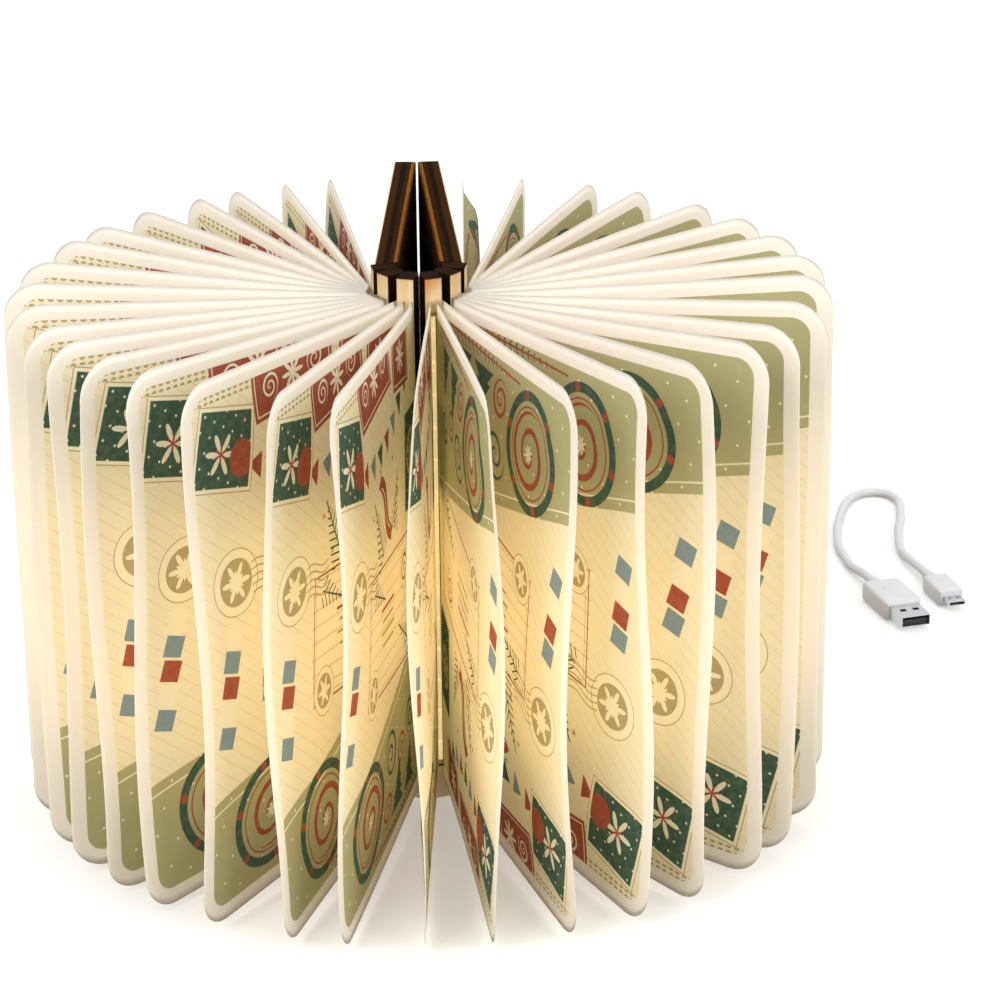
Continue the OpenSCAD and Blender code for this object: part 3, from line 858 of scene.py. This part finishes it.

# %% [markdown]
# Every leaf now grows from its own hinge line.  The frame gives that line and the far edge, and
# from them comes the turn, while the width is one given size for all leaves.

# %% Grow the leaves
paper_leaf = leaf_tree()
joints = {joint["child"]: joint for joint in frame["joints"]}
leaf_names = sorted(name for name in frame["nodes"] if name.startswith("leaf_"))
# The covers' own leaves lie outside the light and take only a quarter of the paper's painted glow.
# The right one swells away from the light.
own_leaves = {
    "leaf_left_01": {"Lit": 0.25},
    "leaf_right_01": {
        "Lit": 0.25, "Bulge": 2.4 * MM, "Bulge start": 9 * MM, "Bulge rise": 9 * MM,
        "Bulge lean": -1.0,
    },
}
for index, name in enumerate(leaf_names):
    joint = joints[name]
    root = Vector(joint["pos_m"])
    low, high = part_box(name)
    far_x = low.x if abs(low.x - root.x) > abs(high.x - root.x) else high.x
    far_y = low.y if abs(low.y - root.y) > abs(high.y - root.y) else high.y
    outward = Vector((far_x - root.x, far_y - root.y, 0))
    turn = atan2(outward.y, outward.x)
    made = grown(f"{name}_paper", paper_leaf, {
        **leaf_sizes, **own_leaves.get(name, {}),
        "Width": leaf_width_mm * MM, "Phase": index * 2.4, "Turn": turn,
        "Root": (root.x, root.y, 0.0), "Paper": paper,
    })
    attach(made, name)
    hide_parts(name)
    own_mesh(made)
print(f"grew {len(leaf_names)} leaves of {len(made.data.polygons)} faces")

# %% [markdown]
# Slats and cover boards are cut from thin board by a laser, which burns their cut sides
# dark and leaves the faces pale.  Each slat faces its own way, so its material takes
# that direction, and the wood's grain runs upwards.

# %% Wood


def grain(tree, place, stretch, scale):
    """Wood grain: noise drawn out along Z."""
    spread = node(tree, "ShaderNodeMapping", {}, {"Vector": place, "Scale": (1.0, 1.0, stretch)})
    inputs = {"Vector": spread, "Scale": scale, "Detail": 4.0, "Distortion": 0.6}
    return node(tree, "ShaderNodeTexNoise", {}, inputs)


def slat_wood(name, facing, middle, scorched):
    """Pale wood on the face and burnt wood on the cut sides of one slat."""
    made, tree, shader = material(name, Roughness=0.8, Specular_IOR_Level=0.03)
    place = node(tree, "ShaderNodeTexCoord", {}, [], 3)
    normal = node(tree, "ShaderNodeTexCoord", {}, [], 1)
    nx, ny, _ = axes(normal)
    px, py, pz = axes(place)
    face = (nx * facing.x + ny * facing.y).ease(0.7, 0.9)
    across = ((px - middle.x) * -facing.y + (py - middle.y) * facing.x) / MM
    rings = grain(tree, place, 0.05, 260.0)
    cloud = node(tree, "ShaderNodeTexNoise", {}, {"Vector": place, "Scale": 55.0, "Detail": 2.0})
    pale = blended(rings.ease(0.3, 0.75), paint("F4DBB0"), paint("E9C892"))
    below_top = (book_height - pz) / MM

    # The laser's heat leaves a darker corner at the top of the face
    heat = 1 - (below_top + across + cloud * 8 - 3).ease(0.0, 9.0)
    pale = blended(heat * scorched, pale, paint("CF8330"))
    rim = across.size().ease(slat_half_face / MM - 0.4, slat_half_face / MM)
    lip = 1 - below_top.ease(0.1, 0.7)
    burnt = blended(cloud.ease(0.35, 0.7), paint("1A0F05"), paint("2C1A08"))
    dark = rim.most(lip).most(1 - face)
    feed(blended(dark, pale, burnt), shader, "Base Color")
    feed(bump(rings, 0.3, 0.0002), shader, "Normal")

    # Painted light: a faint emission on the faces below the leaves' tops stands in for the light
    # that spills from the pockets
    lit = face * below_top.ease(9.0, 30.0)
    shader.inputs["Emission Strength"].default_value = 0.05
    feed(blended(lit, (0.0, 0.0, 0.0, 1.0), paint("FFE2A4")), shader, "Emission Color")
    return made


slat_half_face = 3.1 * MM
# Turns between neighbouring slats, from the middle of the spine outwards, in degrees
centre_turn = 37.2
middle_turn = 33.5
end_turn = 28.4
right_slat_angles = list(accumulate([centre_turn / 2, middle_turn, end_turn]))
left_slat_angles = [-angle for angle in reversed(right_slat_angles)]
slat_angles = dict(enumerate(left_slat_angles + right_slat_angles, start=1))
slat_names = [f"slat_{number}" for number in slat_angles]
for number, angle in slat_angles.items():
    name = f"slat_{number}"
    facing = Vector((sin(radians(angle)), -cos(radians(angle)), 0))
    corners = [v.co for v in frame["nodes"][name].data.vertices]
    front = max(corner.dot(facing) for corner in corners)
    on_face = [corner for corner in corners if corner.dot(facing) > front - 0.05 * MM]
    middle = sum(on_face, Vector()) / len(on_face)
    wood = slat_wood(f"wood_{name}", facing, middle, 0.8 if number == 4 else 0.2)
    frame["nodes"][name].data.materials.clear()
    frame["nodes"][name].data.materials.append(wood)
print("slats have their wood")

# %% [markdown]
# A strip of dark cloth joins each slat to the next along its hinge line.  It fills the
# narrow slit there, so no light passes between the slats.

# %% Hinge cloth
cloth, cloth_tree, cloth_shader = material("hinge_cloth", Roughness=0.95, Specular_IOR_Level=0.1)
weave = node(cloth_tree, "ShaderNodeTexNoise", {}, {"Scale": 2500.0, "Detail": 1.0})
feed(blended(weave, paint("0E0A08"), paint("1E1612")), cloth_shader, "Base Color")
cloth_half_width = 0.13 * MM
cloth_half_thickness = 0.05 * MM
cloth_inset = 0.5 * MM
for joint in frame["joints"]:
    if joint["child"] in slat_names:
        hinge = Vector(joint["pos_m"])
        strip = joined(f"{joint['child']}_cloth", [rounded_block(
            (-cloth_half_width, -cloth_half_thickness, cloth_inset),
            (cloth_half_width, cloth_half_thickness, book_height - cloth_inset), 0, 1,
        )], cloth)
        pair = (joint["parent"], joint["child"])
        middle_angle = sum(slat_angles[int(name[-1])] for name in pair) / 2
        turned_strip = Matrix.Rotation(radians(middle_angle), 4, "Z")
        strip.data.transform(Matrix.Translation((hinge.x, hinge.y, 0)) @ turned_strip)
        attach(strip, joint["parent"])

# %% [markdown]
# A cover is a dark board with a thin skin on its outer side and paper on its inner
# side.  The laser burns a cut board in bands that run along it, and leaves the skin's
# cut edge amber.  The bands follow the depth from the cover's inner side, which comes
# from two corners of the right board and is the same on both halves.

# %% Cover materials
board_corners = [v.co for v in frame["nodes"]["cover_board_right"].data.vertices]
hinge_corner = max(board_corners, key=lambda corner: corner.x)
fore_corner = max(board_corners, key=lambda corner: corner.y)
along_cover = (fore_corner - hinge_corner).xy.normalized()
across_cover = Vector((along_cover.y, -along_cover.x))
inner_side = hinge_corner.xy.dot(across_cover)


def cover_wood(name, broad, ends):
    """Wood with one colour on its broad faces and bands on its cut top and bottom."""
    made, tree, shader = material(name, Roughness=0.85, Specular_IOR_Level=0.02)
    place = node(tree, "ShaderNodeTexCoord", {}, [], 3)
    _, _, nz = axes(node(tree, "ShaderNodeTexCoord", {}, [], 1))
    px, py, pz = axes(place)
    grown_rings = grain(tree, place, 0.07, 190.0)
    fine = node(tree, "ShaderNodeTexNoise", {}, {"Vector": place, "Scale": 900.0, "Detail": 3.0})
    wander = node(tree, "ShaderNodeTexNoise", {}, {"Vector": place, "Scale": 90.0, "Detail": 2.0})
    depth = (inner_side - px.size() * across_cover.x - py * across_cover.y) / MM
    depth = depth + wander * 0.9 - 0.45

    end_colour = ends[0][1]
    for start, colour in ends[1:]:
        end_colour = blended(depth.ease(start - 0.4, start + 0.4), end_colour, colour)
    face_colour = blended(grown_rings.ease(0.3, 0.72), paint(broad[0]), paint(broad[1]))
    # Painted light: the broad faces turn paler towards the top edge, where light falls in between
    # the covers
    near_top = 1 - ((book_height - pz) / MM).ease(0.2, 3.0)
    face_colour = blended(near_top * 0.4, face_colour, ends[-1][1])
    wood = blended(nz.size().ease(0.6, 0.8), face_colour, end_colour)
    feed(blended(fine.ease(0.5, 0.8) * 0.45, wood, paint("120A06")), shader, "Base Color")
    feed(bump(fine + grown_rings, 0.35, 0.0002), shader, "Normal")
    return made


board_wood = cover_wood(
    "board_wood", ("2A1508", "42240D"),
    [(0.0, paint("3F2309")), (2.5, paint("1A0F05")), (4.3, paint("331D08"))],
)
# The skin's broad faces are dark brown, partly the wood's own colour and partly painted shade that
# keeps the narrow gap between the covers dark
skin_wood = cover_wood(
    "skin_wood", ("22120A", "37200F"), [(0.0, paint("8E5717")), (7.1, paint("4A2A10"))],
)
lining_paper, lining_tree, lining_shader = material("lining_paper", Roughness=0.85)
lining_fibre = node(lining_tree, "ShaderNodeTexNoise", {}, {"Scale": 500.0, "Detail": 3.0})
lining_colour = blended(lining_fibre.ease(0.3, 0.8), paint("E9DBBB"), paint("D8C59B"))
feed(lining_colour, lining_shader, "Base Color")

# %% [markdown]
# The electronics lie inside the left cover.  Only the socket's mouth shows, in the
# cover's fore edge.

# %% Electronics materials
foil, foil_tree, foil_shader = material("battery_foil", Metallic=0.9)
crinkle = node(foil_tree, "ShaderNodeTexNoise", {}, {"Scale": 160.0, "Detail": 3.0})
feed(blended(crinkle, paint("AEB3BA"), paint("C6CAD0")), foil_shader, "Base Color")
feed(0.28 + crinkle * 0.2, foil_shader, "Roughness")
mask_green, mask_tree, mask_shader = material("solder_mask", Roughness=0.35)
tracks = node(mask_tree, "ShaderNodeTexNoise", {}, {"Scale": 900.0})
feed(blended(tracks.ease(0.48, 0.52), paint("1D5A34"), paint("2A6E42")), mask_shader, "Base Color")
glass_tube, _, _ = material("switch_glass", Base_Color=paint("9FC8B4"), Roughness=0.1, Alpha=0.6)
plated, plated_tree, plated_shader = material(
    "plated_magnet", Base_Color=paint("C4C6CA"), Metallic=1.0,
)
plated_speck = node(plated_tree, "ShaderNodeTexNoise", {}, {"Scale": 1200.0})
feed(0.2 + plated_speck * 0.12, plated_shader, "Roughness")
lit_strip, strip_tree, strip_shader = material("light_strip", Roughness=0.5)
strip_speck = node(strip_tree, "ShaderNodeTexNoise", {}, {"Scale": 800.0})
feed(blended(strip_speck, paint("FFF4D2"), paint("FFE7AE")), strip_shader, "Base Color")
strip_shader.inputs["Emission Color"].default_value = paint("FFE2A0")
strip_shader.inputs["Emission Strength"].default_value = 0.6

finishes = {
    "cover_board": board_wood,
    "cover_skin": skin_wood,
    "cover_lining": lining_paper,
    "cover_magnets": plated,
    "switch_magnet": plated,
    "light_strip": lit_strip,
    "battery": foil,
    "charging_board": mask_green,
    "charging_socket": nickel,
    "magnetic_switch": glass_tube,
}
for start, finish in finishes.items():
    for name, made in frame["nodes"].items():
        if name.startswith(start):
            made.data.materials.clear()
            made.data.materials.append(finish)
print("finished", len(finishes), "kinds of CAD piece")

# %% [markdown]
# The lamp stands on a plain pale table.  The camera sees the table and the world as
# white, and so do mirror rays, while the table itself still takes the lamp's shadow.

# %% Table, world and lights


def seen_directly(tree):
    """1 for rays from the camera, a mirror or clear glass, and 0 for bounced light."""
    rays = tree.nodes.new("ShaderNodeLightPath")
    names = ("Is Camera Ray", "Is Glossy Ray", "Is Transmission Ray")
    camera_ray, glossy, clear = (Value(tree, rays.outputs[name]) for name in names)
    return camera_ray.most(glossy).most(clear)


floor_mesh = bpy.data.meshes.new("table")
span = 3.0
floor_mesh.from_pydata(
    [(-span, -span, 0), (span, -span, 0), (span, span, 0), (-span, span, 0)], [], [(0, 1, 2, 3)]
)
floor = bpy.data.objects.new("table", floor_mesh)
floor.location = (0, 0, -0.0002)
bpy.context.scene.collection.objects.link(floor)
floor_finish, floor_tree, floor_shader = material("pale_table", Roughness=0.9)
in_view = seen_directly(floor_tree)
feed(blended(in_view, paint("A09C92"), paint("FAFAFA")), floor_shader, "Base Color")
feed(blended(in_view, (0.0, 0.0, 0.0, 1.0), (0.3, 0.3, 0.3, 1.0)), floor_shader, "Emission Color")
floor_shader.inputs["Emission Strength"].default_value = 1.0
floor_mesh.materials.append(floor_finish)

world = bpy.data.worlds.new("studio")
bpy.context.scene.world = world
world.use_nodes = True
world_tree = world.node_tree
background = world_tree.nodes["Background"]
background.inputs["Strength"].default_value = 1.0
world_colour = blended(seen_directly(world_tree), (0.55, 0.55, 0.55, 1.0), (1.0, 1.0, 1.0, 1.0))
world_tree.links.new(world_colour.socket, background.inputs["Color"])


def soft_light(name, place, size, power):
    """A square soft box that looks at the lamp's middle."""
    data = bpy.data.lights.new(name, "AREA")
    data.size = size
    data.energy = power
    made = bpy.data.objects.new(name, data)
    made.location = place
    aim_at = Vector((0, 0, 0.1)) - Vector(place)
    made.rotation_euler = aim_at.to_track_quat("-Z", "Y").to_euler()
    bpy.context.scene.collection.objects.link(made)
    return made


soft_light("key", (-0.8, -1.1, 0.95), 0.9, 10.0)
soft_light("fill", (1.0, -0.9, 0.75), 1.0, 8.0)
soft_light("top", (0.1, 0.5, 1.5), 1.0, 5.0)

# %% [markdown]
# The colours are shown as they are written, with the plain view transform.

# %% Finish
bpy.context.scene.view_settings.view_transform = "Standard"
bpy.context.view_layer.update()
